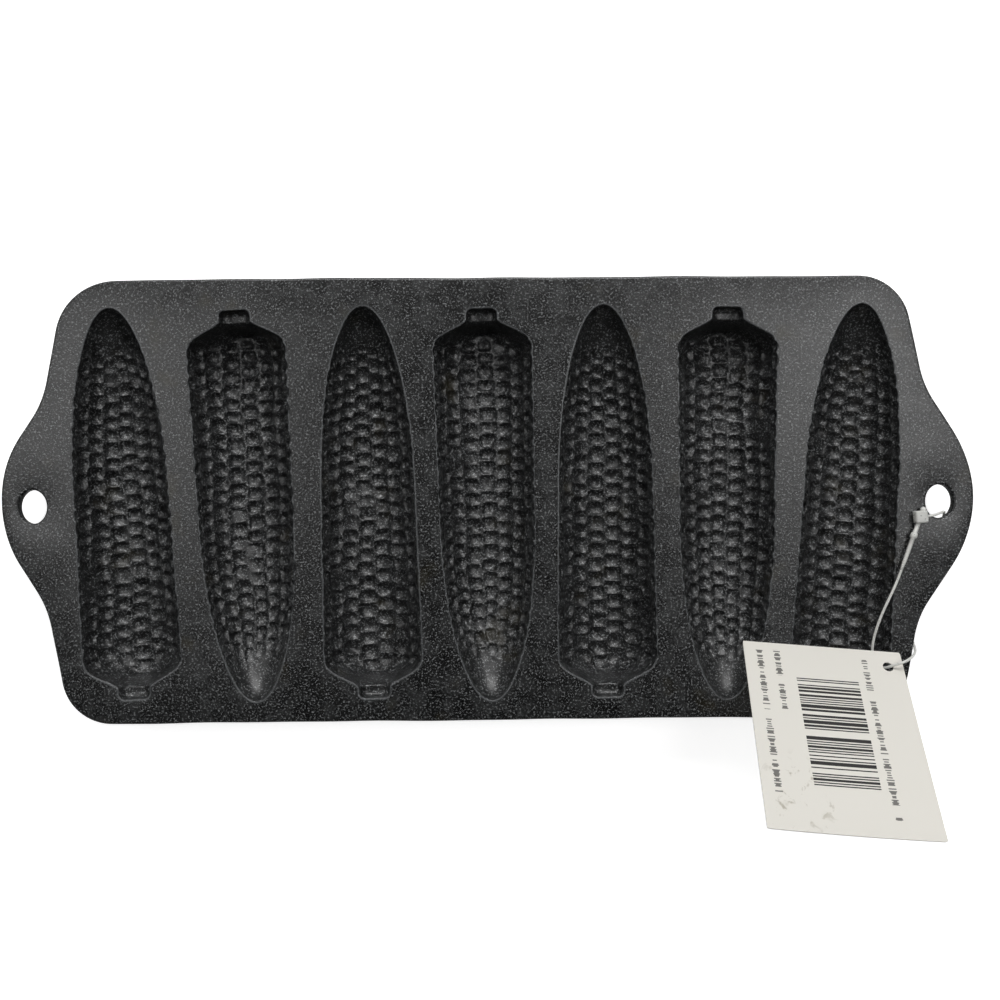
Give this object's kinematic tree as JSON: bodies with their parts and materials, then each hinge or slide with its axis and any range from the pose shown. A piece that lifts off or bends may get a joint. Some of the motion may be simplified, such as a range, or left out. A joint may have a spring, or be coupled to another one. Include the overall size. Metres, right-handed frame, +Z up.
{
  "type": "cast iron corn stick pan",
  "caption": "Shallow cast iron baking pan with corn-cob shaped cavities laid side by side, hanging ears at both ends and a card tag on a plastic loop.",
  "frame": {"origin": "on the surface that the pan stands on, under the middle of the casting's box", "axes": "+X along the pan's length from the left ear to the right one, +Y across it along the cavities, +Z up out of the cavities"},
  "size_m": [0.34, 0.1827, 0.0692],
  "materials": {
    "seasoned_iron": "sand-cast grain under a baked-on oil seasoning, dark grey and satin",
    "tag_card": "uncoated white card",
    "loop_plastic": "natural moulded polypropylene, milky and slightly see-through"
  },
  "bodies": {
    "pan": {"pan_casting": "seasoned_iron"},
    "loop": {"loop_lock_head": "loop_plastic", "loop_barb": "loop_plastic", "loop_filament": "loop_plastic"},
    "tag": {"hang_tag": "tag_card"}
  },
  "joints": [
    {"name": "loop_swing", "type": "hinge", "parent": "pan", "child": "loop", "pos_m": [0.1602, -0.0046, 0.0179], "axis": [0, 0, 1], "range_deg": [0, 120]},
    {"name": "tag_flip", "type": "hinge", "parent": "loop", "child": "tag", "pos_m": [0.1374, -0.0588, 0.02765], "axis": [0.9965, -0.0837, 0], "range_deg": [-10, 50]}
  ]
}
